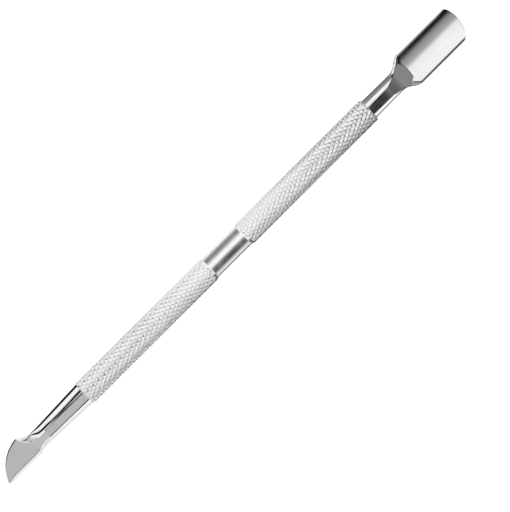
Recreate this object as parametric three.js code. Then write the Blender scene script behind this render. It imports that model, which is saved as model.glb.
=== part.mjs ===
// Double-ended cuticle pusher: a knurled handle bar with a trough-shaped pusher spoon pressed
// into one end and a small cuticle knife pressed into the other.
// Millimetres, +Z up. The tool lies along X on the underside of its two grips, with the spoon
// towards +X, the knife towards -X and both working faces up. The origin is under the middle
// of the overall length, on the surface that the tool lies on.
// The grips are plain here: their diameter is the one over the tips of the knurling.

import * as THREE from 'three';
import { LoftGeometry } from 'three/addons/geometries/LoftGeometry.js';
import { mergeGeometries, mergeVertices } from 'three/addons/utils/BufferGeometryUtils.js';

// ---- Driving dimensions ----

// Handle bar
const HANDLE_LENGTH = 77.5;
const GRIP_DIAMETER = 5.2;           // across the flats of the faceted rod
const WAIST_DIAMETER = 4.7;
const WAIST_LENGTH = 10.2;           // including its two chamfered shoulders
const SHOULDER_CHAMFER = 0.5;
const GRIP_EDGE_BREAK = 0.12;        // at the outer end faces
const ROD_SIDES = 32;

// Pressed joint at each end: a round tang with one narrow flat, in a blind socket
const TANG_DIAMETER = 2.9;
const TANG_FLAT_HEIGHT = 1.3;        // above the axis; it lets the air out of the socket
const TANG_LENGTH = 11.5;
const TANG_TIP_CHAMFER = 0.4;
const SOCKET_CLEARANCE = 0.3;        // all round the tang and beyond its tip

const FLAT_FACE_SHARE = 0.85;        // of the tang's flat that is its face, not its border

// Pusher spoon. Heights are above the tool's axis, and stations run along X from the
// handle's end face.
const SPOON_REACH = 24.9;            // end face to the tip of the spoon
const SPOON_NECK_ROOT_RADIUS = 2.12;
const SPOON_NECK_RADIUS = 2.06;
const NECK_LIP_WIDTH = 0.12;         // beside the flat ground on the neck
const SCOOP_ROOT_HEIGHT = 1.95;      // of that flat, at the end face
const SCOOP_FALL = 0.02;             // how fast the flat drops, per millimetre
const SCOOP_START = 5.3;             // where the flat starts to dive into the trough
const SCOOP_TURN = 4.0;              // how far on it has reached its steepest slope
const SCOOP_ENTRY_SLOPE = 0.16;
const SCOOP_SLOPE = 0.82;
const SCOOP_VALLEY = 0.15;           // roundness of the valley where it meets the trough
const RIM_BLEND = 0.12;              // roundness where the flat's height runs out into the rim
const SPREAD_START = 7.6;            // where the neck starts to widen into the spoon
const SPREAD_END = 11.2;
const SPOON_BLEND_END = 12;          // where the neck's round underside is gone
const SHOULDER_FLANK = 0.45;         // of the outside of the flare that shows from above
const FLANK_FADE_START = 9.7;
const FLANK_FADE_END = 11.5;
const SPOON_HALF_WIDTH = 3.8;
const SPOON_RIM_HEIGHT = 0.15;
const SPOON_LIP_WIDTH = 0.16;
const TROUGH_DEPTH = 1.2;
const TROUGH_FULLNESS = 0.8;         // below 1, the trough's walls steepen towards the lips
const SPOON_WALL_FOOT_HEIGHT = -0.4;
const SPOON_UNDERSIDE_HEIGHT = -1.75;
const SPOON_BOW_RADIUS = 6.3;        // of the convex pushing edge, seen from above
const SPOON_BOW_CENTRE_Y = 0.4;
const SPOON_BOW_START = 16.9;        // the bow grows from here
const SPOON_BOW_FULL = 23.9;
const SPOON_CORNER_RADII = { right: 0.5, left: 1.1 };  // on +Y and on -Y
const EDGE_THINNING = 0.4;           // share of the plate's thickness ground off at the tip
const EDGE_THINNING_START = 22.4;

// Cuticle knife. Stations run along X from its point.
const KNIFE_REACH = 22.6;            // point to the handle's end face
const KNIFE_NECK_ROOT_RADIUS = 2.45;
const KNIFE_NECK_RADIUS = 2.0;
const KNIFE_NECK_END = 11.5;         // where the round neck starts to turn into the blade
const NECK_FLAT_HALF_WIDTH = 0.8;    // of the flat ground along the top of the neck
const BLADE_TOP_HEIGHT = 1.0;
const BLADE_MIDDLE_HEIGHT = 0.35;
const BLADE_UNDERSIDE_HEIGHT = 0.1;
const POINT_THINNING = 0.35;         // taken off the underside at the point
const BLADE_BOXINESS = 0.2;          // of the blade's underside, where 1 is round
const BLADE_ROOT = 7.7;              // where the straight edge's bevel ends
const BEVEL_RUN_OUT = 2.5;
const RISE_START = 8.4;              // where the face starts to rise to the neck's flat
const RISE_END = 12.4;
const ROUNDING_START = 7.25;         // where the blade's sides start to turn round
const UNDERSIDE_ROUND = 12;          // where the underside is the round neck's
const POINT = new THREE.Vector2(0, -1.75);
const HEEL = new THREE.Vector2(6.95, 3.42);
const CURVED_EDGE_RADIUS = 8.6;
const CURVED_BEVEL = 0.09;           // how far the curved edge stands out from the face
const POINT_BLUNTNESS = 0.2;
const STRAIGHT_EDGE_Y = -2.38;
const STRAIGHT_EDGE_START = 1.5;
const BEVEL_WIDTH = 0.77;
const POINT_BEVEL_SHARE = 0.15;      // of the bevel's width that is left at the point
const HEEL_FILLET_RADIUS = 3.7;
const HEEL_FILLET_CENTRE = new THREE.Vector2(10.6, 4.25);
const FILLET_RUN_OUT = 13.5;         // where the fillet has become the neck's flat
const HEEL_FLARE_LENGTH = 2.95;      // from the heel to where the neck is round again
const CLIFF_SHARE = 0.85;            // of the side behind the heel that stands upright
const CLIFF_FADE_START = 7.4;
const CLIFF_FADE_END = 11.6;
const FACE_BORDER = 0.02;

// ---- Derived places ----

const AXIS_HEIGHT = GRIP_DIAMETER / 2;
const OVERALL_LENGTH = KNIFE_REACH + HANDLE_LENGTH + SPOON_REACH;
const HANDLE_KNIFE_END = KNIFE_REACH - OVERALL_LENGTH / 2;
const HANDLE_SPOON_END = HANDLE_KNIFE_END + HANDLE_LENGTH;

// ---- Curves ----

const mix = THREE.MathUtils.lerp;
const clamp01 = (value) => THREE.MathUtils.clamp(value, 0, 1);
/** 0 before a, 1 after b, and a smooth ramp between. */
const ease = (a, b, x) => THREE.MathUtils.smoothstep(x, a, b);
/** The other leg of a right triangle with this hypotenuse. */
const leg = (hypotenuse, side) => Math.sqrt(Math.max(0, hypotenuse ** 2 - side ** 2));
/** The larger of two values, rounded where they cross. */
const smoothMax = (a, b, radius) => (a + b + Math.hypot(a - b, radius)) / 2;

/** Evenly spaced stations from a up to, but not including, b. */
function stations(a, b, count) {
  return Array.from({ length: count }, (_, i) => mix(a, b, i / count));
}

/** Centre of the circle through a and b that lies on the right of the way from a to b. */
function arcCentre(a, b, radius) {
  const along = b.clone().sub(a);
  const right = new THREE.Vector2(along.y, -along.x).normalize();
  const middle = a.clone().add(b).multiplyScalar(0.5);
  return middle.addScaledVector(right, leg(radius, along.length() / 2));
}

// ---- Sections ----

const SIDE_STEPS = 5;
const TOP_STEPS = 12;
const BOTTOM_STEPS = 14;
const NO_FLOOR = -100;

/**
 * One closed YZ section of a working end, counter-clockwise as seen from +X.
 * Each side gives the Y of its widest point, at middleHeight, the Y that this point has
 * before a corner is rounded off it (full), its upper edge, the face's border inside that
 * edge, and the border of the trough. A side is straight when its roundness is 0 and the arc
 * of the round rod when it is 1, and cliff is the share of its height that stands upright.
 * The top is the higher of the dish and of a flat floor. The underside is a superellipse:
 * 1 is round, less is boxy and 2 is a shallow bow.
 */
function sectionPoints(x, form) {
  const { left, right, middleHeight, topHeight, bottomHeight, roundness, underside } = form;
  const { centre = 0, sag = 0, fullness = 1, floor = NO_FLOOR, thinning = 0 } = form;
  const bend = form.bend ?? (() => 0);
  const points = [];
  const put = (y, z) => points.push(new THREE.Vector3(x - bend(y), y, z));

  const topAt = (y) => {
    const border = y > 0 ? right.border : left.border;
    const within = Math.max(0, 1 - (y / border) ** 2);
    return smoothMax(floor, topHeight - sag * within ** fullness, SCOOP_VALLEY * within);
  };
  const bottomAt = (y) => {
    const side = y > centre ? right : left;
    const across = Math.abs((y - centre) / (side.full - centre));
    const bow = Math.max(0, 1 - across ** (2 / Math.min(1, underside))) ** (underside / 2);
    return mix(middleHeight - (middleHeight - bottomHeight) * bow, topAt(y), thinning);
  };
  const sidePoint = (side, step) => {
    const cliff = side.cliff ?? 0;
    const foot = bottomAt(side.widest);
    const rim = topAt(side.edge);
    if (step === SIDE_STEPS) return [side.edge, rim];
    const t = mix(step / SIDE_STEPS, step / (SIDE_STEPS - 1), cliff / CLIFF_SHARE);
    const reach = side.widest - centre;
    const straight = mix(side.widest, side.edge, t);
    const round = centre + reach * Math.sqrt(1 - (1 - ((side.edge - centre) / reach) ** 2) * t * t);
    return [mix(straight, round, side.roundness ?? roundness),
      mix(foot, mix(rim, foot, cliff), t)];
  };

  for (let i = 0; i <= SIDE_STEPS; i++) put(...sidePoint(right, i));
  for (let i = 0; i <= TOP_STEPS; i++) {
    const y = mix(right.face, left.face, i / TOP_STEPS);
    put(y, topAt(y));
  }
  for (let i = SIDE_STEPS; i >= 0; i--) put(...sidePoint(left, i));
  for (let i = 1; i < BOTTOM_STEPS; i++) {
    const angle = Math.PI * (i / BOTTOM_STEPS - 0.5);
    const side = angle > 0 ? right : left;
    const across = Math.abs(Math.sin(angle)) ** Math.min(1, underside);
    const y = mix(centre, side.widest, across);
    put(y, bottomAt(y));
  }
  return points;
}

/** The same side of a section on -Y. */
const mirrored = (side) => Object.fromEntries(
  Object.entries(side).map(([name, y]) => [name, -y]),
);

/** The round rod with one flat, as a section form. */
function roundForm(radius, flatHeight) {
  const edge = leg(radius, flatHeight);
  const right = {
    widest: radius, full: radius, edge, face: edge * FLAT_FACE_SHARE, border: edge,
  };
  return {
    left: mirrored(right), right, middleHeight: 0, topHeight: flatHeight,
    bottomHeight: -radius, roundness: 1, underside: 1,
  };
}

/** The tang's sections, from its chamfered tip (negative X) to the handle's end face at 0. */
function tangSections() {
  const radius = TANG_DIAMETER / 2;
  const shrink = TANG_TIP_CHAMFER;
  return [
    sectionPoints(-TANG_LENGTH, roundForm(radius - shrink, TANG_FLAT_HEIGHT - shrink)),
    sectionPoints(-TANG_LENGTH + shrink, roundForm(radius, TANG_FLAT_HEIGHT)),
    sectionPoints(0, roundForm(radius, TANG_FLAT_HEIGHT)),
  ];
}

/** Closes one end with a strip across it, so that the end may be bowed. */
function stripCap(ring) {
  const start = ring.reduce((best, p, i) => (p.y > ring[best].y ? i : best), 0);
  const loop = [...ring.slice(start), ...ring.slice(0, start)];
  const far = loop.reduce((best, p, i) => (p.y < loop[best].y ? i : best), 0);
  const upper = loop.slice(0, far + 1);
  const lower = [loop[0], ...loop.slice(far).reverse()];
  const corners = [];
  let i = 0;
  let j = 0;
  while (i < upper.length - 1 || j < lower.length - 1) {
    const alongUpper = j === lower.length - 1
      || (i < upper.length - 1 && upper[i + 1].y >= lower[j + 1].y);
    const next = alongUpper ? upper[i + 1] : lower[j + 1];
    if (new Set([upper[i], next, lower[j]]).size === 3) corners.push(upper[i], next, lower[j]);
    if (alongUpper) i++;
    else j++;
  }
  return new THREE.BufferGeometry().setFromPoints(corners);
}

/** A closed solid through the sections, whose ends may be bowed. */
function closedLoft(sections) {
  const bare = (geometry) => {
    geometry.deleteAttribute('uv');
    geometry.deleteAttribute('normal');
    return geometry.index ? geometry.toNonIndexed() : geometry;
  };
  const merged = mergeVertices(mergeGeometries([
    bare(new LoftGeometry(sections)),
    bare(stripCap(sections.at(-1))),
    bare(stripCap([...sections[0]].reverse())),
  ]));
  merged.computeVertexNormals();
  return merged;
}

// ---- Handle ----

/** A turned rod along +X from [x, radius] pairs, with one of its flats facing straight down. */
function turned(profile) {
  const acrossCorners = 1 / Math.cos(Math.PI / ROD_SIDES);
  const outline = profile.map(([x, radius]) => new THREE.Vector2(radius * acrossCorners, x));
  const geometry = new THREE.LatheGeometry(outline, ROD_SIDES);
  geometry.rotateZ(-Math.PI / 2);
  return geometry.rotateX(Math.PI / ROD_SIDES);
}

function handleGeometry() {
  const half = HANDLE_LENGTH / 2;
  const gripRadius = GRIP_DIAMETER / 2;
  const waistEnd = WAIST_LENGTH / 2;
  const socketRadius = TANG_DIAMETER / 2 + SOCKET_CLEARANCE;
  const socketFloor = half - TANG_LENGTH - SOCKET_CLEARANCE;
  const spoonHalf = [
    [waistEnd - SHOULDER_CHAMFER, WAIST_DIAMETER / 2],
    [waistEnd, gripRadius],
    [half - GRIP_EDGE_BREAK, gripRadius],
    [half, gripRadius - GRIP_EDGE_BREAK],
    [half, socketRadius],
    [socketFloor, socketRadius],
    [socketFloor, 0],
  ];
  const knifeHalf = spoonHalf.map(([x, radius]) => [-x, radius]).reverse();
  return turned([...knifeHalf, ...spoonHalf]);
}

// ---- Pusher spoon ----

/** Height of the flat ground on the neck, which dives ever more steeply into the trough. */
function scoopHeight(s) {
  const past = Math.max(0, s - SCOOP_START);
  const turned = Math.min(past, SCOOP_TURN);
  const dive = turned ** 3 / (3 * SCOOP_TURN ** 2) + past - turned;
  return SCOOP_ROOT_HEIGHT - SCOOP_FALL * s - SCOOP_ENTRY_SLOPE * past
    - (SCOOP_SLOPE - SCOOP_ENTRY_SLOPE) * dive;
}

function spoonForm(s) {
  const radius = mix(SPOON_NECK_ROOT_RADIUS, SPOON_NECK_RADIUS, ease(0, SPREAD_START, s));
  const spread = ease(SPREAD_START, SPREAD_END, s);
  const floor = scoopHeight(s);
  const topHeight = smoothMax(floor, SPOON_RIM_HEIGHT, RIM_BLEND);
  const full = mix(radius, SPOON_HALF_WIDTH, spread);
  const flank = SHOULDER_FLANK * (1 - ease(FLANK_FADE_START, FLANK_FADE_END, s));
  const lip = mix(NECK_LIP_WIDTH, SPOON_LIP_WIDTH, spread);
  const side = (cornerRadius) => {
    const corner = clamp01((s - SPOON_REACH) / cornerRadius + 1);
    const widest = full - cornerRadius * (1 - leg(1, corner));
    const edge = Math.min(mix(leg(radius, topHeight), full, spread), full - flank);
    const shownEdge = Math.min(edge, widest);
    return { widest, full, edge: shownEdge, face: shownEdge - lip, border: edge - lip };
  };
  const bow = ease(SPOON_BOW_START, SPOON_BOW_FULL, s);
  return {
    left: mirrored(side(SPOON_CORNER_RADII.left)),
    right: side(SPOON_CORNER_RADII.right),
    middleHeight: mix(0, SPOON_WALL_FOOT_HEIGHT, spread),
    topHeight,
    floor,
    bottomHeight: mix(-radius, SPOON_UNDERSIDE_HEIGHT, ease(SPREAD_START, SPOON_BLEND_END, s)),
    roundness: 1,
    underside: mix(1, 2, spread),
    sag: TROUGH_DEPTH + topHeight - SPOON_RIM_HEIGHT,
    fullness: TROUGH_FULLNESS,
    bend: (y) => bow * (SPOON_BOW_RADIUS - leg(SPOON_BOW_RADIUS, y - SPOON_BOW_CENTRE_Y)),
    thinning: EDGE_THINNING * ease(EDGE_THINNING_START, SPOON_REACH, s),
  };
}

function spoonGeometry() {
  const cornerStart = SPOON_REACH - SPOON_CORNER_RADII.left;
  const steps = [
    ...stations(0, SCOOP_START, 2),
    ...stations(SCOOP_START, SPREAD_START, 4),
    ...stations(SPREAD_START, SPOON_BLEND_END, 16),
    ...stations(SPOON_BLEND_END, EDGE_THINNING_START, 5),
    ...stations(EDGE_THINNING_START, cornerStart, 2),
    ...stations(cornerStart, SPOON_REACH, 6),
    SPOON_REACH,
  ];
  return closedLoft([...tangSections(), ...steps.map((s) => sectionPoints(s, spoonForm(s)))]);
}

// ---- Cuticle knife ----

const curvedEdgeCentre = arcCentre(POINT, HEEL, CURVED_EDGE_RADIUS);
const curvedEdgeY = (s) => curvedEdgeCentre.y + leg(CURVED_EDGE_RADIUS, s - curvedEdgeCentre.x);
const filletY = (s) => HEEL_FILLET_CENTRE.y - leg(HEEL_FILLET_RADIUS, s - HEEL_FILLET_CENTRE.x);

/** The side of the knife with the curved edge, the heel and the fillet behind it. */
function curvedSide(s, neck) {
  if (s <= HEEL.x) {
    const y = curvedEdgeY(s);
    const edge = y - CURVED_BEVEL * clamp01(s / STRAIGHT_EDGE_START - 0.5);
    return { widest: y, full: y, edge, face: edge - FACE_BORDER, border: edge };
  }
  const flare = 1 - clamp01((s - HEEL.x) / HEEL_FLARE_LENGTH);
  const foot = HEEL_FILLET_CENTRE.y - HEEL_FILLET_RADIUS;
  const edge = s < HEEL_FILLET_CENTRE.x
    ? Math.min(filletY(s), HEEL.y - CURVED_BEVEL)
    : mix(foot, neck.edge, ease(HEEL_FILLET_CENTRE.x, FILLET_RUN_OUT, s));
  const widest = Math.max(mix(neck.radius, HEEL.y, flare ** 2), edge + CURVED_BEVEL);
  const cliff = CLIFF_SHARE * (1 - ease(CLIFF_FADE_START, CLIFF_FADE_END, s));
  return {
    widest, full: widest, edge, face: edge - FACE_BORDER, border: edge, roundness: 1, cliff,
  };
}

/** The side of the knife with the straight bevelled edge. */
function straightSide(s, neck) {
  const start = clamp01(s / STRAIGHT_EDGE_START);
  const blade = mix(POINT.y - POINT_BLUNTNESS, STRAIGHT_EDGE_Y, Math.sqrt(start));
  const bevel = BEVEL_WIDTH * mix(POINT_BEVEL_SHARE, 1, start);
  const edge = mix(blade + bevel, -neck.edge, ease(BLADE_ROOT, KNIFE_NECK_END, s));
  const widest = mix(blade, -neck.radius, ease(BLADE_ROOT, BLADE_ROOT + BEVEL_RUN_OUT, s));
  return { widest, full: widest, edge, face: edge + FACE_BORDER, border: edge };
}

function knifeForm(s) {
  const along = clamp01((s - KNIFE_NECK_END) / (KNIFE_REACH - KNIFE_NECK_END));
  const radius = mix(KNIFE_NECK_RADIUS, KNIFE_NECK_ROOT_RADIUS, along);
  const neck = { radius, edge: NECK_FLAT_HALF_WIDTH };
  const rounding = ease(ROUNDING_START, KNIFE_NECK_END, s);
  const tip = 1 - clamp01(s / STRAIGHT_EDGE_START);
  const bladeBottom = BLADE_UNDERSIDE_HEIGHT + POINT_THINNING * tip;
  const left = straightSide(s, neck);
  const right = curvedSide(s, neck);
  return {
    left,
    right,
    centre: mix((left.widest + right.widest) / 2, 0, rounding),
    middleHeight: mix(BLADE_MIDDLE_HEIGHT, 0, rounding),
    topHeight: mix(BLADE_TOP_HEIGHT, leg(radius, neck.edge), ease(RISE_START, RISE_END, s)),
    bottomHeight: mix(bladeBottom, -radius, ease(ROUNDING_START, UNDERSIDE_ROUND, s)),
    roundness: rounding,
    underside: mix(BLADE_BOXINESS, 1, rounding),
  };
}

function knifeGeometry() {
  const steps = [
    ...stations(0, STRAIGHT_EDGE_START, 4),
    ...stations(STRAIGHT_EDGE_START, HEEL.x, 8),
    ...stations(HEEL.x, HEEL.x + HEEL_FLARE_LENGTH, 9),
    ...stations(HEEL.x + HEEL_FLARE_LENGTH, FILLET_RUN_OUT, 10),
    ...stations(FILLET_RUN_OUT, KNIFE_REACH, 2),
    KNIFE_REACH,
  ];
  const tang = tangSections().reverse();
  tang.forEach((section) => section.forEach((p) => p.setX(KNIFE_REACH - p.x)));
  return closedLoft([...steps.map((s) => sectionPoints(s, knifeForm(s))), ...tang]);
}

// ---- Assembly ----

const steel = (colour, roughness) => new THREE.MeshStandardMaterial({
  color: colour, roughness, metalness: 1,
});

function part(name, geometry, material, x) {
  const mesh = new THREE.Mesh(geometry, material);
  mesh.name = name;
  mesh.position.set(x, 0, AXIS_HEIGHT);
  return mesh;
}

const handleMiddle = HANDLE_KNIFE_END + HANDLE_LENGTH / 2;
const group = new THREE.Group();
group.add(
  part('knurled_handle', handleGeometry(), steel(0xd9dadb, 0.38), handleMiddle),
  part('pusher_spoon', spoonGeometry(), steel(0xc9cacc, 0.18), HANDLE_SPOON_END),
  part('cuticle_knife', knifeGeometry(), steel(0xc4c5c7, 0.16), HANDLE_KNIFE_END - KNIFE_REACH),
);

export default group;
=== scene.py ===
"""The cuticle pusher's visual model: a knurled steel handle bar, a trough-shaped pusher spoon
and a small cuticle knife, on a white table in a light tent.

Lengths in the dimension blocks are millimetres. Places along the tool come from the CAD
frame. The three pieces replace the three CAD nodes and repeat their sections in fine mesh.
"""
import math

import bmesh
import bpy
from mathutils import Matrix, Vector


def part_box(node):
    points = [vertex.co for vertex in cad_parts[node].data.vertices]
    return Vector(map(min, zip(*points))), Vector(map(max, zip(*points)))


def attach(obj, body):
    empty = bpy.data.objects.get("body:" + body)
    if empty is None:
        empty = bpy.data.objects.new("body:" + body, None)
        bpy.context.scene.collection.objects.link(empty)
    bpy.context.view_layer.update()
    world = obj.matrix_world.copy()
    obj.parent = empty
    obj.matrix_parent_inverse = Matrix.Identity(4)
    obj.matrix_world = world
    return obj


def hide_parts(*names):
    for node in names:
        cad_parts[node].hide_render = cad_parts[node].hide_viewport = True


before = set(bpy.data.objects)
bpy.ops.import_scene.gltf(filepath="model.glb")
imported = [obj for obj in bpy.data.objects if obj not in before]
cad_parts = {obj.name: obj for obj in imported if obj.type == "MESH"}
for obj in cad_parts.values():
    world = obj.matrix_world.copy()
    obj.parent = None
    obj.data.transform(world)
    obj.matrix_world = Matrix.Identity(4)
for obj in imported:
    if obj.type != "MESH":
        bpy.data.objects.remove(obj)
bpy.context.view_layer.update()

MM = 0.001
JUST_SHORT = 1e-6                    # keeps a station off the very end
SAME_PLACE = 1e-3                    # places along the tool this close are the same


# ---- Small maths ----

def mix(a, b, t):
    return a + (b - a) * t


def clamp01(value):
    return min(1.0, max(0.0, value))


def ease(a, b, x):
    """0 before a, 1 after b, and a smooth ramp between."""
    t = clamp01((x - a) / (b - a))
    return t * t * (3 - 2 * t)


def smooth_max(a, b, radius):
    """The larger of two values, rounded where they cross."""
    return (a + b + math.sqrt((a - b) ** 2 + radius ** 2)) / 2


def leg(hypotenuse, side):
    """The other leg of a right triangle."""
    return math.sqrt(max(0.0, hypotenuse ** 2 - side ** 2))


def steps(a, b, count):
    """Evenly spaced values from a up to, but not including, b."""
    return [mix(a, b, i / count) for i in range(count)]


# ---- Places from the CAD frame (metres to millimetres) ----

def box_mm(node):
    low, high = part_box(node)
    return low / MM, high / MM


HANDLE_LOW, HANDLE_HIGH = box_mm("knurled_handle")
SPOON_HIGH = box_mm("pusher_spoon")[1]
KNIFE_LOW = box_mm("cuticle_knife")[0]
GRIP_RADIUS = (HANDLE_HIGH.z - HANDLE_LOW.z) / 2
AXIS_HEIGHT = (HANDLE_HIGH.z + HANDLE_LOW.z) / 2
HANDLE_MIDDLE = (HANDLE_HIGH.x + HANDLE_LOW.x) / 2
HANDLE_HALF = (HANDLE_HIGH.x - HANDLE_LOW.x) / 2
SPOON_REACH = SPOON_HIGH.x - HANDLE_HIGH.x
KNIFE_REACH = HANDLE_LOW.x - KNIFE_LOW.x

# ---- Dimensions that the frame doesn't hold ----

WAIST_RADIUS = 2.35
WAIST_HALF = 5.1
SHOULDER_CHAMFER = 0.25
SHOULDER_FILLET = 0.405              # length of the hollow between waist and chamfer
SHOULDER_FILLET_RISE = 0.05
SHOULDER_FILLET_RINGS = 8
SOCKET_RADIUS = 1.75
SOCKET_DEPTH = 11.8
END_BREAK = 0.12

KNURL_STARTS = 18
KNURL_PITCH = 1.5                    # along the axis
KNURL_DEPTH = 0.11
# Rings of one diamond, from its groove (0) to its centre (0.5): share of the cell, and height
KNURL_RINGS = [(0, 0), (0.03, 0.03), (0.07, 0.12), (0.30, 0.86), (0.34, 0.95), (0.39, 1)]

TANG_RADIUS = 1.45
TANG_FLAT_HEIGHT = 1.3
TANG_LENGTH = 11.5
TANG_TIP_CHAMFER = 0.4
TANG_ROOT = 0.02                     # from the tang's last full section to the neck's first
FLAT_FACE_SHARE = 0.85               # of the tang's flat that is its face, not its border

SPOON_NECK_ROOT_RADIUS = 2.12
SPOON_NECK_RADIUS = 2.06
NECK_LIP_WIDTH = 0.12                # beside the flat ground on the neck
SCOOP_ROOT_HEIGHT = 1.95
SCOOP_FALL = 0.02
SCOOP_START = 5.3                    # where the flat starts to dive into the trough
SCOOP_TURN = 4.0                     # how far on it has reached its steepest slope
SCOOP_ENTRY_SLOPE, SCOOP_SLOPE = 0.16, 0.82
RIM_BLEND = 0.12                     # roundness where the flat runs out into the rim
SCOOP_VALLEY = 0.15                  # roundness of the valley where it meets the trough
SPOON_BLEND_END = 12                 # where the neck's round underside is gone
SPREAD_START, SPREAD_END = 7.6, 11.2
SHOULDER_FLANK = 0.45                # of the outside of the flare that shows from above
FLANK_FADE_START, FLANK_FADE_END = 9.7, 11.5  # where that flank runs out
SPOON_HALF_WIDTH = 3.8
SPOON_RIM_HEIGHT = 0.15
SPOON_LIP_WIDTH = 0.16
TROUGH_DEPTH = 1.2
TROUGH_FULLNESS = 0.8                # below 1, the trough's walls steepen towards the lips
SPOON_WALL_FOOT = -0.4
SPOON_UNDERSIDE = -1.75
SPOON_BOW_RADIUS = 6.3
SPOON_BOW_CENTRE = 0.4
SPOON_BOW_START, SPOON_BOW_FULL = 8, 1  # back from the tip
SPOON_CORNERS = (0.5, 1.1)           # on +Y and on -Y
EDGE_THINNING = 0.4
EDGE_THINNING_START = 22.4
TIP_ROUNDING = 0.07
TIP_ROUNDING_RINGS = 5

KNIFE_NECK_ROOT_RADIUS = 2.45
KNIFE_NECK_RADIUS = 2.0
KNIFE_NECK_END = 11.5
NECK_FLAT_HALF_WIDTH = 0.8
BLADE_TOP, BLADE_MIDDLE, BLADE_BOTTOM = 1.0, 0.35, 0.1
POINT_THINNING = 0.35                # taken off the underside at the point
BLADE_BOXINESS = 0.2                 # of the blade's underside, where 1 is round
BLADE_ROOT = 7.7                     # where the straight edge's bevel ends
BEVEL_RUN_OUT = 2.5
RISE_START, RISE_END = 8.4, 12.4     # where the face rises to the neck's flat
ROUNDING_START = 7.25                # where the blade's sides start to turn round
UNDERSIDE_ROUND = 12.0               # where the underside is the round neck's
POINT_Y = -1.75
HEEL_X, HEEL_Y = 6.95, 3.42
HEEL_RINGS_START, HEEL_RINGS_END = 0.2, 0.8  # of the dense rings, before and after the heel
CURVED_EDGE_RADIUS = 8.6
POINT_BLUNTNESS = 0.2
STRAIGHT_EDGE_Y = -2.38
STRAIGHT_EDGE_START = 1.5
BEVEL_WIDTH = 0.77
POINT_BEVEL_SHARE = 0.15             # of the bevel's width that is left at the point
FILLET_RADIUS = 3.7
FILLET_X, FILLET_Y = 10.6, 4.25
FILLET_RUN_OUT = 13.5                # where the fillet has become the neck's flat
HEEL_FLARE_LENGTH = 2.95
CLIFF_SHARE = 0.85                   # of the side behind the heel that stands upright
CLIFF_FADE_START, CLIFF_FADE_END = 7.4, 11.6
CURVED_BEVEL = 0.09                  # how far the curved edge stands out from the face
CURVED_BEVEL_DELAY = 0.5             # as a share of the way to where the straight edge starts
CURVED_BORDER = 0.1                  # of the face beside the curved edge
BEVEL_BORDER = 0.5                   # of the face beside the bevel

EDGE_ROUNDING = 0.05
RIM_ROUNDING = 0.07
POINT_ROUNDING = 0.02
BEVEL_ROUNDING = 0.22                # between the blade's face and its bevel
NECK_ROUNDING = 0.1


# ---- Sections of the working ends ----

WALL_POINTS, CLIFF_POINTS, LIP_POINTS = 13, 3, 4
TOP_POINTS, BOTTOM_POINTS, CORNER_POINTS = 49, 45, 4
DENSE = 60                           # samples of a curve before its points are spread
LIP_SAMPLES = 12
NO_FLOOR = -100.0


def along(curve, start, end, count):
    """count points spread evenly over a (y, z) polyline, leaving start and end mm off it."""
    lengths = [0.0]
    for a, b in zip(curve, curve[1:]):
        lengths.append(lengths[-1] + math.dist(a, b))
    total = lengths[-1]
    start, end = min(start, total / 3), min(end, total / 3)
    points, segment = [], 0
    for i in range(count):
        at = mix(start, total - end, i / (count - 1))
        while segment < len(curve) - 2 and lengths[segment + 1] < at:
            segment += 1
        span = lengths[segment + 1] - lengths[segment]
        t = (at - lengths[segment]) / span if span > 1e-9 else 0.0
        a, b = curve[segment], curve[segment + 1]
        points.append((mix(a[0], b[0], t), mix(a[1], b[1], t)))
    return points


def rounded_loop(curves):
    """One closed loop through (points, count, rounding of its last corner) curves."""
    parts = [along(curve, curves[i - 1][2], rounding, count)
             for i, (curve, count, rounding) in enumerate(curves)]
    loop = []
    for i, part in enumerate(parts):
        loop += part
        corner = curves[i][0][-1]
        a, b = part[-1], parts[(i + 1) % len(parts)][0]
        for k in range(1, CORNER_POINTS):
            t = k / CORNER_POINTS
            weights = ((1 - t) ** 2, 2 * t * (1 - t), t * t)
            loop.append(tuple(sum(w * p[j] for w, p in zip(weights, (a, corner, b)))
                              for j in (0, 1)))
    return loop


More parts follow.
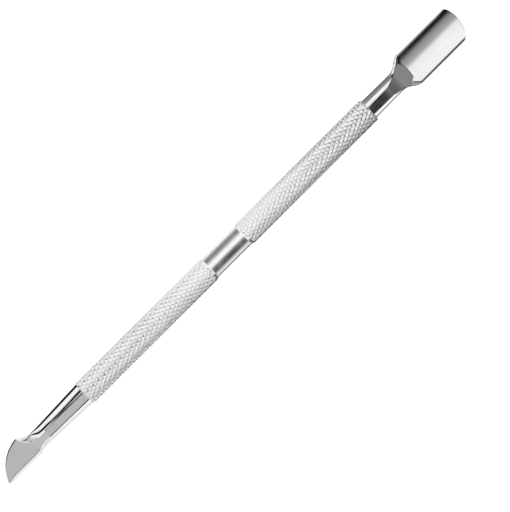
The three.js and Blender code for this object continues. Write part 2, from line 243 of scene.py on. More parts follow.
def section(form):
    """A closed (y, z) loop, counter-clockwise seen from +X, of one working end.

    Each side gives the y of its widest point, the y that this point has before a corner is
    rounded off it (full), its upper edge, the face's border inside that edge, and the border
    of the trough. A side is straight when its roundness is 0 and the arc of the round rod
    when it is 1, and cliff is the share of its height that stands upright. The top is the
    higher of the dish and of a flat floor. The underside is a superellipse: 1 is round, less
    is boxy and 2 is a shallow bow. thinning brings it up towards the top, and inset draws
    both of them in.
    """
    left, right = form["left"], form["right"]
    middle, top, bottom = form["middle"], form["top"], form["bottom"]
    roundness, underside = form["roundness"], form["underside"]
    centre = form.get("centre", 0.0)
    sag, fullness = form.get("sag", 0.0), form.get("fullness", 1.0)
    floor = form.get("floor", NO_FLOOR)
    thinning = form.get("thinning", 0.0)
    inset = form.get("inset", 0.0)

    def top_at(y):
        border = right["border"] if y > 0 else left["border"]
        within = max(0.0, 1 - (y / border) ** 2)
        return smooth_max(floor, top - sag * within ** fullness, SCOOP_VALLEY * within) - inset

    def bottom_at(y):
        side = right if y > centre else left
        across = abs((y - centre) / (side["full"] - centre))
        power = 2 / min(1.0, underside)
        depth = (middle - bottom) * max(0.0, 1 - across ** power) ** (underside / 2)
        return mix(middle - depth, top_at(y), thinning) + inset

    def wall(side):
        """From the foot of the side up to its upper edge."""
        reach, foot, rim = side["widest"] - centre, bottom_at(side["widest"]), top_at(side["edge"])
        ratio = clamp01(abs((side["edge"] - centre) / reach))
        rim = mix(rim, foot, side.get("cliff", 0.0))
        points = []
        for i in range(DENSE + 1):
            t = math.sin(math.pi / 2 * i / DENSE)
            y = mix(side["widest"], side["edge"], t)
            bowed = centre + reach * math.sqrt(max(0.0, 1 - (1 - ratio ** 2) * t * t))
            points.append((mix(y, bowed, side.get("roundness", roundness)), mix(foot, rim, t)))
        return points

    def cliff(side):
        """The upright part of a side, from the top of its wall to its upper edge."""
        return [wall(side)[-1], (side["edge"], top_at(side["edge"]))]

    def over(a, b, height, count):
        return [(y, height(y)) for y in (mix(a, b, i / count) for i in range(count + 1))]

    angles = [math.pi * (i / (2 * DENSE) - 0.5) for i in range(2 * DENSE + 1)]
    under = []
    for angle in angles:
        side = right if angle > 0 else left
        share = abs(math.sin(angle)) ** min(1.0, underside)
        y = mix(centre, side["widest"], share)
        under.append((y, bottom_at(y)))
    rounding = form.get("rounding", EDGE_ROUNDING)
    return rounded_loop([
        (wall(right), WALL_POINTS, rounding),
        (cliff(right), CLIFF_POINTS, rounding),
        (over(right["edge"], right["face"], top_at, LIP_SAMPLES), LIP_POINTS, rounding),
        (over(right["face"], left["face"], top_at, 2 * DENSE), TOP_POINTS, rounding),
        (over(left["face"], left["edge"], top_at, LIP_SAMPLES), LIP_POINTS,
         form.get("left_rounding", rounding)),
        (wall(left)[::-1], WALL_POINTS, rounding),
        (under, BOTTOM_POINTS, rounding),
    ])


def mirrored(side):
    return {key: -value for key, value in side.items()}


def round_form(radius, flat_height):
    edge = leg(radius, flat_height)
    right = {"widest": radius, "full": radius, "edge": edge, "face": edge * FLAT_FACE_SHARE,
             "border": edge}
    return {"left": mirrored(right), "right": right, "middle": 0.0, "top": flat_height,
            "bottom": -radius, "roundness": 1.0, "underside": 1.0}


def tang_rings():
    """(distance into the socket, section) from the tang's tip to the end face."""
    small = round_form(TANG_RADIUS - TANG_TIP_CHAMFER, TANG_FLAT_HEIGHT - TANG_TIP_CHAMFER)
    full = round_form(TANG_RADIUS, TANG_FLAT_HEIGHT)
    return [(-TANG_LENGTH, section(small)),
            (-TANG_LENGTH + TANG_TIP_CHAMFER, section(full)),
            (-TANG_ROOT, section(full))]


def scoop_height(s):
    """Height of the flat ground on the neck, which dives ever more steeply into the trough."""
    t = max(0.0, s - SCOOP_START)
    turned = min(t, SCOOP_TURN)
    dive = turned ** 3 / (3 * SCOOP_TURN ** 2) + t - turned
    return (SCOOP_ROOT_HEIGHT - SCOOP_FALL * s - SCOOP_ENTRY_SLOPE * t
            - (SCOOP_SLOPE - SCOOP_ENTRY_SLOPE) * dive)


def spoon_form(s):
    radius = mix(SPOON_NECK_ROOT_RADIUS, SPOON_NECK_RADIUS, ease(0, SPREAD_START, s))
    spread = ease(SPREAD_START, SPREAD_END, s)
    floor = scoop_height(s)
    top = smooth_max(floor, SPOON_RIM_HEIGHT, RIM_BLEND)
    full = mix(radius, SPOON_HALF_WIDTH, spread)
    flank = SHOULDER_FLANK * (1 - ease(FLANK_FADE_START, FLANK_FADE_END, s))

    def side(corner_radius):
        corner = clamp01((s - SPOON_REACH) / corner_radius + 1)
        widest = full - corner_radius * (1 - leg(1, corner))
        edge = min(mix(leg(radius, top), full, spread), full - flank)
        lip = mix(NECK_LIP_WIDTH, SPOON_LIP_WIDTH, spread)
        return {"widest": widest, "full": full, "edge": min(edge, widest),
                "face": min(edge, widest) - lip, "border": edge - lip}

    return {
        "left": mirrored(side(SPOON_CORNERS[1])), "right": side(SPOON_CORNERS[0]),
        "middle": mix(0, SPOON_WALL_FOOT, spread), "top": top, "floor": floor,
        "bottom": mix(-radius, SPOON_UNDERSIDE, ease(SPREAD_START, SPOON_BLEND_END, s)),
        "roundness": 1.0, "underside": mix(1, 2, spread),
        "sag": TROUGH_DEPTH + top - SPOON_RIM_HEIGHT, "fullness": TROUGH_FULLNESS,
        "thinning": EDGE_THINNING * ease(EDGE_THINNING_START, SPOON_REACH, s),
        "rounding": mix(NECK_ROUNDING, RIM_ROUNDING, spread),
    }


def arc_centre(ax, ay, bx, by, radius):
    """Centre of the circle through a and b, on the right of the way from a to b."""
    length = math.dist((ax, ay), (bx, by))
    out = leg(radius, length / 2) / length
    return (ax + bx) / 2 + (by - ay) * out, (ay + by) / 2 - (bx - ax) * out


EDGE_X, EDGE_Y = arc_centre(0, POINT_Y, HEEL_X, HEEL_Y, CURVED_EDGE_RADIUS)


def curved_side(s, radius):
    """The knife's side with the curved cutting edge, the heel and the fillet behind it."""
    if s <= HEEL_X:
        y = EDGE_Y + leg(CURVED_EDGE_RADIUS, s - EDGE_X)
        edge = y - CURVED_BEVEL * clamp01(s / STRAIGHT_EDGE_START - CURVED_BEVEL_DELAY)
        return {"widest": y, "full": y, "edge": edge, "face": edge - CURVED_BORDER, "border": edge}
    flare = 1 - clamp01((s - HEEL_X) / HEEL_FLARE_LENGTH)
    if s < FILLET_X:
        edge = min(FILLET_Y - leg(FILLET_RADIUS, s - FILLET_X), HEEL_Y - CURVED_BEVEL)
    else:
        edge = mix(FILLET_Y - FILLET_RADIUS, NECK_FLAT_HALF_WIDTH,
                   ease(FILLET_X, FILLET_RUN_OUT, s))
    widest = max(mix(radius, HEEL_Y, flare ** 2), edge + CURVED_BEVEL)
    fade = ease(CLIFF_FADE_START, CLIFF_FADE_END, s)
    return {"widest": widest, "full": widest, "edge": edge, "face": edge - CURVED_BORDER,
            "border": edge, "roundness": 1.0, "cliff": CLIFF_SHARE * (1 - fade)}


def straight_side(s, radius):
    """The knife's side with the straight bevelled edge."""
    start = clamp01(s / STRAIGHT_EDGE_START)
    blade = mix(POINT_Y - POINT_BLUNTNESS, STRAIGHT_EDGE_Y, math.sqrt(start))
    bevel = BEVEL_WIDTH * mix(POINT_BEVEL_SHARE, 1, start)
    edge = mix(blade + bevel, -NECK_FLAT_HALF_WIDTH, ease(BLADE_ROOT, KNIFE_NECK_END, s))
    widest = mix(blade, -radius, ease(BLADE_ROOT, BLADE_ROOT + BEVEL_RUN_OUT, s))
    face = edge + BEVEL_BORDER * start
    return {"widest": widest, "full": widest, "edge": edge, "face": face, "border": edge}


def knife_form(s):
    back = clamp01((s - KNIFE_NECK_END) / (KNIFE_REACH - KNIFE_NECK_END))
    radius = mix(KNIFE_NECK_RADIUS, KNIFE_NECK_ROOT_RADIUS, back)
    rounding = ease(ROUNDING_START, KNIFE_NECK_END, s)
    start = clamp01(s / STRAIGHT_EDGE_START)
    left, right = straight_side(s, radius), curved_side(s, radius)
    top = mix(BLADE_TOP, leg(radius, NECK_FLAT_HALF_WIDTH), ease(RISE_START, RISE_END, s))
    return {
        "left": left, "right": right,
        "centre": mix((left["widest"] + right["widest"]) / 2, 0, rounding),
        "middle": mix(BLADE_MIDDLE, 0, rounding), "top": top,
        "bottom": mix(BLADE_BOTTOM + POINT_THINNING * (1 - start), -radius,
                      ease(ROUNDING_START, UNDERSIDE_ROUND, s)),
        "roundness": rounding, "underside": mix(BLADE_BOXINESS, 1, rounding),
        "rounding": mix(POINT_ROUNDING, EDGE_ROUNDING, start),
        "left_rounding": mix(POINT_ROUNDING, BEVEL_ROUNDING, start),
    }


# ---- Meshes ----

def cap(bm, loop):
    """Closes a ring with a strip across it, so that the end may be bowed."""
    turn = max(range(len(loop)), key=lambda i: loop[i].co.y)
    loop = loop[turn:] + loop[:turn]
    far = min(range(len(loop)), key=lambda i: loop[i].co.y)
    one, other = loop[:far + 1], [loop[0]] + loop[:far - 1:-1]
    i = j = 0
    while i < len(one) - 1 or j < len(other) - 1:
        step_one = j == len(other) - 1 or (
            i < len(one) - 1 and one[i + 1].co.y >= other[j + 1].co.y)
        corner = one[i + 1] if step_one else other[j + 1]
        face = [one[i], corner, other[j]]
        if len(set(face)) == 3:
            bm.faces.new(face)
        i, j = (i + 1, j) if step_one else (i, j + 1)


def loft(rings):
    """A closed bmesh through (x, loop) rings, in mm; x may be a function of y."""
    bm = bmesh.new()
    loops = []
    for x, loop in rings:
        place = x if callable(x) else (lambda y, x=x: x)
        loops.append([bm.verts.new((place(y), y, z)) for y, z in loop])
    count = len(loops[0])
    for a, b in zip(loops, loops[1:]):
        for i in range(count):
            j = (i + 1) % count
            bm.faces.new((a[i], a[j], b[j], b[i]))
    cap(bm, loops[0][::-1])
    cap(bm, loops[-1])
    bmesh.ops.remove_doubles(bm, verts=bm.verts, dist=1e-5)
    bmesh.ops.recalc_face_normals(bm, faces=bm.faces)
    return bm


def finish_mesh(bm, name, origin_x, materials, sharp_angle=None, crease_x=math.inf):
    """Moves a bmesh from its own mm frame to its place and makes the object.

    Edges that turn by more than sharp_angle, and those of the ring at crease_x, stay sharp.
    """
    creases = {e for e in bm.edges if all(abs(v.co.x - crease_x) < SAME_PLACE for v in e.verts)}
    bmesh.ops.translate(bm, verts=bm.verts, vec=Vector((origin_x, 0, AXIS_HEIGHT)))
    bmesh.ops.scale(bm, verts=bm.verts, vec=Vector((MM, MM, MM)))
    if sharp_angle is not None:
        for face in bm.faces:
            face.smooth = True
        for edge in bm.edges:
            turn = edge.calc_face_angle(0) if len(edge.link_faces) == 2 else 0
            if turn > math.radians(sharp_angle) or edge in creases:
                edge.smooth = False
    mesh = bpy.data.meshes.new(name)
    bm.to_mesh(mesh)
    bm.free()
    piece = bpy.data.objects.new(name, mesh)
    for material in materials:
        mesh.materials.append(material)
    bpy.context.scene.collection.objects.link(piece)
    return piece


def spoon_x(s):
    """Station s with the bow of the pushing edge taken off towards the tip."""
    bow = ease(SPOON_REACH - SPOON_BOW_START, SPOON_REACH - SPOON_BOW_FULL, s)

    def place(y):
        return s - bow * (SPOON_BOW_RADIUS - leg(SPOON_BOW_RADIUS, y - SPOON_BOW_CENTRE))
    return place


def spoon_mesh():
    corner = SPOON_CORNERS[1]
    corner_rings = 16
    stations = (steps(0, SCOOP_START, 8) + steps(SCOOP_START, SPREAD_START, 16)
                + steps(SPREAD_START, SPOON_BLEND_END, 72)
                + steps(SPOON_BLEND_END, EDGE_THINNING_START, 24)
                + steps(EDGE_THINNING_START, SPOON_REACH - corner, 6)
                + [SPOON_REACH - corner * math.cos(math.pi / 2 * i / corner_rings)
                   for i in range(corner_rings)])
    rings = tang_rings() + [(spoon_x(s), section(spoon_form(s))) for s in stations]
    for i in range(TIP_ROUNDING_RINGS):
        angle = math.pi / 2 * i / (TIP_ROUNDING_RINGS - 1)
        form = spoon_form(SPOON_REACH - JUST_SHORT)
        form["inset"] = TIP_ROUNDING * (1 - math.cos(angle))
        back = TIP_ROUNDING * (1 - math.sin(angle))
        rings.append((spoon_x(SPOON_REACH - back), section(form)))
    return loft(rings)


def knife_mesh():
    heel_start, heel_end = HEEL_X - HEEL_RINGS_START, HEEL_X + HEEL_RINGS_END
    point_rings, heel_rings = 14, 36
    stations = ([STRAIGHT_EDGE_START * (i / point_rings) ** 2 for i in range(point_rings)]
                + steps(STRAIGHT_EDGE_START, heel_start, 28) + steps(heel_start, HEEL_X, 3)
                + [mix(HEEL_X, heel_end, (i / heel_rings) ** 1.6) for i in range(heel_rings)]
                + steps(heel_end, FILLET_RUN_OUT, 44)
                + steps(FILLET_RUN_OUT, KNIFE_REACH, 12) + [KNIFE_REACH])
    rings = [(s, section(knife_form(s))) for s in stations]
    rings += [(KNIFE_REACH - x, loop) for x, loop in reversed(tang_rings())]
    return loft(rings)


def knurl_mesh(x_start, x_end):
    """The diamond-knurled tube between two places along the axis, open at both ends.

    One family of grooves has whole values of turn + x, the other of turn - x, in units of
    one groove. Each diamond between them is built from square rings in those coordinates.
    """
    bm = bmesh.new()

    def corner(u, w, height):
        angle = (u + w) * math.pi / KNURL_STARTS
        radius = GRIP_RADIUS - KNURL_DEPTH * (1 - height)
        return bm.verts.new(((u - w) * KNURL_PITCH / 2, radius * math.sin(angle),
                             radius * math.cos(angle)))

    first = math.floor(2 * x_start / KNURL_PITCH) - 1
    last = math.ceil(2 * x_end / KNURL_PITCH) + 1
    for row in range(first, last + 1):
        for turn in range(KNURL_STARTS):
            total = 2 * turn + row % 2
            u0, w0 = (total + row) / 2, (total - row) / 2
            rings = []
            for inset, height in KNURL_RINGS:
                a, b = inset, 1 - inset
                rings.append([corner(u0 + u, w0 + w, height)
                              for u, w in ((a, a), (b, a), (b, b), (a, b))])
            for outer, inner in zip(rings, rings[1:]):
                for i in range(4):
                    j = (i + 1) % 4
                    bm.faces.new((outer[i], outer[j], inner[j], inner[i]))
            bm.faces.new(rings[-1])
    bmesh.ops.remove_doubles(bm, verts=bm.verts, dist=1e-4)
    for x, side in ((x_start, -1), (x_end, 1)):
        everything = bm.verts[:] + bm.edges[:] + bm.faces[:]
        bmesh.ops.bisect_plane(bm, geom=everything, dist=1e-5, plane_co=(x, 0, 0),
                               plane_no=(side, 0, 0), clear_outer=True)
    return bm


def extend(bm, edges, place, material):
    """Extrudes a ring of edges and puts each new vertex at place(x, radius)."""
    made = bmesh.ops.extrude_edge_only(bm, edges=edges)["geom"]
    for vert in (g for g in made if isinstance(g, bmesh.types.BMVert)):
        radius = math.hypot(vert.co.y, vert.co.z)
        x, new_radius = place(vert.co.x, radius)
        scale = new_radius / radius
        vert.co = Vector((x, vert.co.y * scale, vert.co.z * scale))
    for face in (g for g in made if isinstance(g, bmesh.types.BMFace)):
        face.material_index = material
        face.smooth = True
    return [g for g in made if isinstance(g, bmesh.types.BMEdge) and g.is_boundary]


def end_edges(bm, x):
    return [e for e in bm.edges
            if e.is_boundary and all(abs(v.co.x - x) < SAME_PLACE for v in e.verts)]


def handle_mesh():
    """One half from the waist's middle to the spoon's end face, then its mirror image."""
    grip_end = HANDLE_HALF - END_BREAK
    bm = knurl_mesh(WAIST_HALF, grip_end)
    chamfer_foot = WAIST_HALF - SHOULDER_CHAMFER

    ring = end_edges(bm, WAIST_HALF)
    ring = extend(bm, ring, lambda x, r: (mix(chamfer_foot, WAIST_HALF, clamp01(
        (r - WAIST_RADIUS) / (GRIP_RADIUS - WAIST_RADIUS))), r), 1)
    for i in range(1, SHOULDER_FILLET_RINGS + 1):
        turn = math.sin(math.pi / 2 * i / SHOULDER_FILLET_RINGS)
        back = chamfer_foot - SHOULDER_FILLET * turn
        radius = WAIST_RADIUS + SHOULDER_FILLET_RISE * (1 - turn)
        ring = extend(bm, ring, lambda x, r, back=back, radius=radius: (back, radius), 1)
    for share in (0.6, 0.3, 0):
        ring = extend(bm, ring, lambda x, r, s=share: (WAIST_HALF * s, WAIST_RADIUS), 1)

    ring = end_edges(bm, grip_end)
    ring = extend(bm, ring, lambda x, r: (HANDLE_HALF, min(r, GRIP_RADIUS - END_BREAK)), 1)
    ring = extend(bm, ring, lambda x, r: (HANDLE_HALF, SOCKET_RADIUS), 1)
    ring = extend(bm, ring, lambda x, r: (HANDLE_HALF - SOCKET_DEPTH, SOCKET_RADIUS), 1)
    bmesh.ops.contextual_create(bm, geom=ring)

    copy = bmesh.ops.duplicate(bm, geom=bm.verts[:] + bm.edges[:] + bm.faces[:])["geom"]
    verts = [g for g in copy if isinstance(g, bmesh.types.BMVert)]
    bmesh.ops.scale(bm, verts=verts, vec=Vector((-1, 1, 1)))
    bmesh.ops.remove_doubles(bm, verts=bm.verts, dist=1e-4)
    bmesh.ops.recalc_face_normals(bm, faces=bm.faces)
    return bm


# ---- Materials ----

class Nodes:
    """Builds a material's or a world's node tree with short calls."""

    def __init__(self, owner):
        owner.use_nodes = True
        self.tree = owner.node_tree
        self.tree.nodes.clear()

    def add(self, kind, inputs=(), **settings):
        node = self.tree.nodes.new(kind)
        for key, value in settings.items():
            setattr(node, key, value)
        for key, value in dict(inputs).items():
            if isinstance(value, bpy.types.NodeSocket):
                self.tree.links.new(value, node.inputs[key])
            else:
                node.inputs[key].default_value = value
        return node

    def math(self, operation, a, b=0.0):
        return self.add("ShaderNodeMath", {0: a, 1: b}, operation=operation).outputs[0]

    def remap(self, value, low, high, to_low=0.0, to_high=1.0, smooth=False):
        node = self.add("ShaderNodeMapRange", {"Value": value, "From Min": low,
                                               "From Max": high, "To Min": to_low,
                                               "To Max": to_high})
        node.interpolation_type = "SMOOTHSTEP" if smooth else "LINEAR"
        return node.outputs["Result"]

    def mix_colour(self, factor, a, b):
        node = self.add("ShaderNodeMix", data_type="RGBA")
        for socket, value in zip((node.inputs[0], node.inputs[6], node.inputs[7]),
                                 (factor, a, b)):
            if isinstance(value, bpy.types.NodeSocket):
                self.tree.links.new(value, socket)
            else:
                socket.default_value = value
        return node.outputs[2]

    def noise(self, vector, scale, detail=3.0, roughness=0.5):
        return self.add("ShaderNodeTexNoise", {"Vector": vector, "Scale": scale,
                                               "Detail": detail, "Roughness": roughness}
                        ).outputs["Fac"]

    def stretched(self, vector, factors):
        return self.add("ShaderNodeMapping", {"Vector": vector, "Scale": factors}
                        ).outputs["Vector"]

    def ramp(self, value, stops):
        node = self.add("ShaderNodeValToRGB", {"Fac": value})
        elements = node.color_ramp.elements
        while len(elements) > 1:
            elements.remove(elements[-1])
        for i, (at, colour) in enumerate(stops):
            element = elements[0] if i == 0 else elements.new(at)
            element.position = at
            element.color = colour
        return node.outputs["Color"]


SMUDGE = 0.06                        # how much the smudges darken the steel


def steel(name, colour, roughness, spread, grain, bump_height, groove=None):
    """A metal with stretched polishing marks, faint smudges and, if asked, painted shade and more
    roughness in the grooves.

    spread is how far the roughness varies, and grain the stretch of the polishing marks
    along X, Y and Z, in marks per metre. groove gives two distances from the tool's axis in
    mm, the painted shade that the tone is multiplied by inside the first of them, and the
    roughness that the grooves gain there.
    """
    material = bpy.data.materials.new(name)
    n = Nodes(material)
    place = n.add("ShaderNodeTexCoord").outputs["Object"]
    marks = n.noise(n.stretched(place, grain), scale=1.0, detail=4.0, roughness=0.6)
    cloud = n.noise(place, scale=260.0, detail=3.0, roughness=0.55)
    fine = n.noise(place, scale=2600.0, detail=2.0)

    shade = n.remap(cloud, 0.3, 0.7, 1 - SMUDGE, 1.0)
    streak = n.remap(marks, 0.25, 0.75, 0.97, 1.0)
    tone = n.math("MULTIPLY", shade, streak)
    rough = n.math("ADD", n.remap(marks, 0.2, 0.8, roughness - spread, roughness + spread),
                   n.remap(cloud, 0.35, 0.75, -spread / 2, spread / 2))
    if groove:
        low, high, painted_groove_shade, dull = groove
        split = n.add("ShaderNodeSeparateXYZ", {0: place})
        lift = n.math("SUBTRACT", split.outputs["Z"], AXIS_HEIGHT * MM)
        radius = n.math("SQRT", n.math("ADD", n.math("MULTIPLY", lift, lift), n.math(
            "MULTIPLY", split.outputs["Y"], split.outputs["Y"])))
        # Painted shade: the colour darkens towards the bottom of the knurl's grooves, where shade
        # would fall. The roughness they gain below is real dullness.
        tone = n.math("MULTIPLY", tone,
                      n.remap(radius, low * MM, high * MM, painted_groove_shade, 1.0, smooth=True))
        rough = n.math("ADD", rough,
                       n.remap(radius, low * MM, high * MM, dull, 0.0, smooth=True))
    dark_colour = (colour[0] * 0.1, colour[1] * 0.1, colour[2] * 0.1, 1)
    base = n.mix_colour(tone, dark_colour, (*colour, 1))
    bump = n.add("ShaderNodeBump", {"Height": n.math(
        "ADD", marks, n.math("MULTIPLY", fine, 0.4)), "Strength": 0.5,
        "Distance": bump_height * MM})
    shader = n.add("ShaderNodeBsdfPrincipled", {
        "Base Color": base, "Metallic": 1.0, "Roughness": rough,
        "Normal": bump.outputs["Normal"]})
    n.add("ShaderNodeOutputMaterial", {"Surface": shader.outputs[0]})
    return material


TABLE_HALF_WIDTH = 2500.0
TABLE_GLOW = 0.55
WORLD_STRENGTH = 1.12


def table_material():
    material = bpy.data.materials.new("white_table")
    n = Nodes(material)
    place = n.add("ShaderNodeTexCoord").outputs["Object"]
    tone = n.remap(n.noise(place, scale=40.0), 0.3, 0.7, 0.985, 1.0)
    base = n.mix_colour(tone, (0, 0, 0, 1), (0.93, 0.93, 0.925, 1))
    shader = n.add("ShaderNodeBsdfPrincipled", {
        "Base Color": base, "Roughness": 0.6, "Specular IOR Level": 0.1,
        "Emission Color": (1, 1, 1, 1), "Emission Strength": TABLE_GLOW})
    n.add("ShaderNodeOutputMaterial", {"Surface": shader.outputs[0]})
    return material


# ---- Camera facts, which the tent's panels follow ----

CAMERA_TILT = 14.0                   # degrees from overhead towards +Y
CAMERA_ROLL = 44.95                  # degrees between the tool and the picture's base
LENS = 150.0
SENSOR = 36.0
FIELD_WIDTH = 99.2                   # mm across the picture's long side, at the tool
CAMERA_DISTANCE = FIELD_WIDTH * LENS / SENSOR
AIM_ALONG, AIM_ACROSS = 2.11, -4.58  # the picture's centre, from under the tool's middle


# ---- Light tent ----

TENT_RADIUS = 90.0
TENT_HALF_LENGTH = 1500.0
METAL_SHARE = 0.82                   # how much of the tent's light the steel sends back

# Tones seen in the steel, from 0 to 255, by the angle round the tool in degrees: 0 is
# overhead, positive towards +Y and 180 under the table.
WAIST_TONES = [(-180, 40), (-150, 40), (-132, 50), (-118, 175), (-94, 235), (-70, 205),
               (-58, 125), (-46, 66), (-30, 60), (-13, 100), (-2, 165), (6, 228), (14, 250),
               (36, 252), (48, 225), (62, 165), (78, 126), (98, 128), (114, 165), (132, 225),
               (150, 250), (166, 235), (180, 60)]
GRIP_TONES = [(-180, 30), (-150, 30), (-128, 36), (-112, 90), (-100, 140), (-88, 70),
              (-74, 70), (-62, 190), (-54, 238), (-30, 242), (10, 250), (50, 250),
              (100, 245), (136, 235), (146, 120), (152, 40), (180, 20)]
KNIFE_TONES = [(-180, 205), (-120, 235), (-106, 215), (-92, 245), (-58, 250), (-52, 30),
               (-32, 30), (-26, 178), (-14, 184), (10, 186), (22, 160), (26, 45), (36, 45),
               (40, 240), (45, 245), (49, 12), (71, 12), (76, 250), (112, 250), (118, 170),
               (128, 15), (180, 15)]
KNIFE_ROOT_TONES = [(-180, 205), (-120, 235), (-106, 215), (-92, 245), (-54, 250), (-48, 70),
                    (-34, 70), (-26, 178), (-14, 186), (-8, 186), (-2, 12), (60, 12),
                    (68, 250), (112, 250), (118, 170), (128, 15), (180, 15)]
NECK_TONES = [(-180, 90), (-126, 95), (-112, 200), (-104, 245), (-66, 250), (-56, 20),
              (-38, 20), (-26, 30), (-2, 34), (14, 70), (40, 200), (54, 252), (76, 250),
              (88, 140), (140, 120), (158, 60), (180, 90)]
TROUGH_TONES = [(-180, 70), (-140, 40), (-110, 20), (-72, 24), (-62, 46), (-54, 100),
                (-44, 142), (-26, 168), (-20, 190), (-13, 238), (10, 248), (46, 246),
                (54, 215), (60, 60), (90, 30), (110, 70), (140, 250), (180, 200)]
NEAR_SPOON_TONES = [(-180, 40), (-140, 40), (-110, 20), (-72, 24), (-62, 40), (-54, 70),
                    (-26, 95), (0, 95), (12, 110), (26, 245), (46, 246), (54, 215), (60, 60),
                    (90, 30), (110, 70), (140, 250), (180, 40)]
FAR_SPOON_TONES = [(-180, 40), (-140, 40), (-110, 30), (-94, 130), (0, 140), (12, 150),
                   (26, 245), (46, 246), (54, 215), (60, 60), (90, 30), (110, 70),
                   (140, 250), (180, 40)]
FAR_KNIFE_TONES = [(-180, 15), (-140, 40), (-116, 190), (-40, 240), (-26, 190), (0, 190),
                   (20, 245), (45, 245), (49, 12), (71, 12), (76, 250), (112, 250), (118, 170),
                   (128, 15), (180, 15)]


def light(tone):
    """The radiance that shows as this tone, 0 to 255, in the steel."""
    value = tone / 255
    linear = value / 12.92 if value <= 0.04045 else ((value + 0.055) / 1.055) ** 2.4
    return linear / METAL_SHARE


def tent_material():
    material = bpy.data.materials.new("tent_cloth")
    n = Nodes(material)
    place = n.add("ShaderNodeTexCoord").outputs["Object"]
    split = n.add("ShaderNodeSeparateXYZ", {0: place})
    angle = n.math("ARCTAN2", split.outputs["Y"], split.outputs["Z"])
    turn = n.remap(angle, -math.pi, math.pi)
    x = n.math("DIVIDE", split.outputs["X"], MM)

    def panel(tones):
        stops = [((degrees + 180) / 360, (*[light(tone)] * 3, 1)) for degrees, tone in tones]
        return n.ramp(turn, stops)

    def seen_from(place_x):
        """Where the tent shows in a level face at this place along the tool."""
        return place_x + (place_x - AIM_ALONG) * TENT_RADIUS / CAMERA_DISTANCE

    # From beyond the knife to beyond the spoon, each zone fades in between two places.
    colour = panel(FAR_KNIFE_TONES)
    for start, end, tones in (
            (KNIFE_LOW.x - 9, KNIFE_LOW.x - 2, KNIFE_TONES),
            (HANDLE_LOW.x - 14, HANDLE_LOW.x - 13, KNIFE_ROOT_TONES),
            (HANDLE_LOW.x - 10.5, HANDLE_LOW.x - 6.5, KNIFE_TONES),
            (HANDLE_LOW.x - 0.5, HANDLE_LOW.x + 0.5, GRIP_TONES),
            (HANDLE_MIDDLE - WAIST_HALF - 1, HANDLE_MIDDLE - WAIST_HALF, WAIST_TONES),
            (HANDLE_MIDDLE + WAIST_HALF, HANDLE_MIDDLE + WAIST_HALF + 1, GRIP_TONES),
            (HANDLE_HIGH.x - 1, HANDLE_HIGH.x - 0.5, NECK_TONES),
            (HANDLE_HIGH.x + 8.5, HANDLE_HIGH.x + 10.3, TROUGH_TONES),
            (SPOON_HIGH.x + 0.5, SPOON_HIGH.x + 4, NEAR_SPOON_TONES),
            (SPOON_HIGH.x + 15, SPOON_HIGH.x + 100, FAR_SPOON_TONES)):
        share = n.remap(x, seen_from(start), seen_from(end))
        colour = n.mix_colour(share, colour, panel(tones))
    glow = n.add("ShaderNodeEmission", {"Color": colour, "Strength": 1.0})
    n.add("ShaderNodeOutputMaterial", {"Surface": glow.outputs[0]})
    return material


def make_tent():
    """A long tube round the tool that only reflections see."""
    bm = bmesh.new()
    sides = 96
    rings = [[bm.verts.new((x * MM, TENT_RADIUS * MM * math.sin(2 * math.pi * i / sides),
                            TENT_RADIUS * MM * math.cos(2 * math.pi * i / sides)))
              for i in range(sides)] for x in (-TENT_HALF_LENGTH, TENT_HALF_LENGTH)]
    for i in range(sides):
        j = (i + 1) % sides
        bm.faces.new((rings[0][i], rings[0][j], rings[1][j], rings[1][i]))
    mesh = bpy.data.meshes.new("light_tent")
    bm.to_mesh(mesh)
    bm.free()
    mesh.materials.append(tent_material())
    tent = bpy.data.objects.new("light_tent", mesh)
    tent.location = (0, 0, AXIS_HEIGHT * MM)
    bpy.context.scene.collection.objects.link(tent)
    for seen_by in ("camera", "diffuse", "transmission", "volume_scatter", "shadow"):
        setattr(tent, "visible_" + seen_by, False)


def make_table():
    bm = bmesh.new()
    bmesh.ops.create_grid(bm, x_segments=8, y_segments=8, size=TABLE_HALF_WIDTH * MM)
    mesh = bpy.data.meshes.new("table_top")
    bm.to_mesh(mesh)
    bm.free()
    mesh.materials.append(table_material())
    table = bpy.data.objects.new("table_top", mesh)
    bpy.context.scene.collection.objects.link(table)
    table.visible_glossy = False


def make_world():
    world = bpy.data.worlds.new("studio")
    bpy.context.scene.world = world
    n = Nodes(world)
    back = n.add("ShaderNodeBackground", {"Color": (1.0, 1.0, 1.0, 1), "Strength": WORLD_STRENGTH})
    n.add("ShaderNodeOutputWorld", {"Surface": back.outputs[0]})


# ---- Camera ----

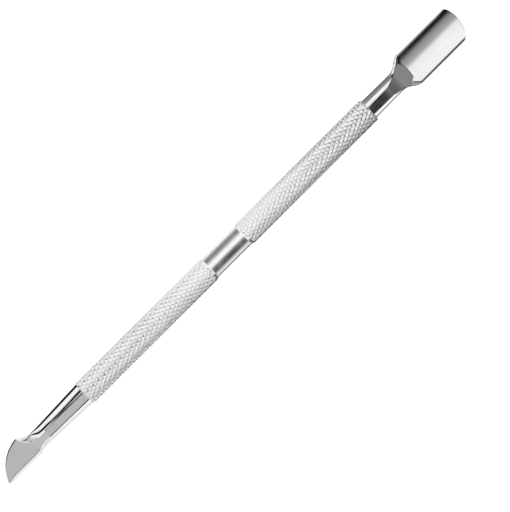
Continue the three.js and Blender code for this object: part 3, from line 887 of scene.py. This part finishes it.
def make_camera():
    tilt, roll = math.radians(CAMERA_TILT), math.radians(CAMERA_ROLL)
    back = Vector((0, math.sin(tilt), math.cos(tilt)))
    tool_up = Vector((0, math.cos(tilt), -math.sin(tilt)))
    along_tool = Vector((1, 0, 0))
    right = along_tool * math.cos(roll) - tool_up * math.sin(roll)
    up = along_tool * math.sin(roll) + tool_up * math.cos(roll)
    data = bpy.data.cameras.new("camera")
    data.lens, data.sensor_width = LENS, SENSOR
    camera = bpy.data.objects.new("camera", data)
    aim = Vector((AIM_ALONG, AIM_ACROSS, AXIS_HEIGHT)) * MM
    turn = Matrix((right, up, back)).transposed().to_4x4()
    camera.matrix_world = Matrix.Translation(aim + back * CAMERA_DISTANCE * MM) @ turn
    data.clip_start, data.clip_end = 0.01, 10
    bpy.context.scene.collection.objects.link(camera)
    bpy.context.scene.camera = camera


# ---- Scene ----

make_camera()
make_world()
make_table()
make_tent()
bpy.context.scene.view_settings.view_transform = "Standard"

SHARP_ANGLE = 50                     # degrees
# Up to this distance from the axis, the knurl's grooves get painted shade and more roughness.
GROOVE_TOP = GRIP_RADIUS - 0.4 * KNURL_DEPTH

# The knurl's grooves get painted shade (tone times 0.88) and 0.08 more roughness.
knurled = steel("knurled_steel", (0.93, 0.93, 0.935), roughness=0.27, spread=0.05,
                grain=(900, 900, 900), bump_height=0.003,
                groove=(GRIP_RADIUS - KNURL_DEPTH, GROOVE_TOP, 0.88, 0.08))
turned = steel("turned_steel", (0.82, 0.82, 0.825), roughness=0.13, spread=0.03,
               grain=(9000, 300, 300), bump_height=0.0006)
polished = steel("polished_steel", (0.82, 0.82, 0.83), roughness=0.10, spread=0.03,
                 grain=(260, 3800, 3800), bump_height=0.0006)
ground = steel("ground_steel", (0.82, 0.82, 0.83), roughness=0.10, spread=0.03,
               grain=(300, 4200, 4200), bump_height=0.0006)

handle = finish_mesh(handle_mesh(), "knurled_handle_bar", HANDLE_MIDDLE, [knurled, turned])
spoon = finish_mesh(spoon_mesh(), "pusher_spoon_end", HANDLE_HIGH.x, [polished],
                    SHARP_ANGLE, SCOOP_START)
knife = finish_mesh(knife_mesh(), "cuticle_knife_end", KNIFE_LOW.x, [ground], SHARP_ANGLE)

for piece, node, slot in ((handle, "knurled_handle", "knurled_steel"),
                          (spoon, "pusher_spoon", "polished_steel"),
                          (knife, "cuticle_knife", "ground_steel")):
    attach(piece, "root")
    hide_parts(node)
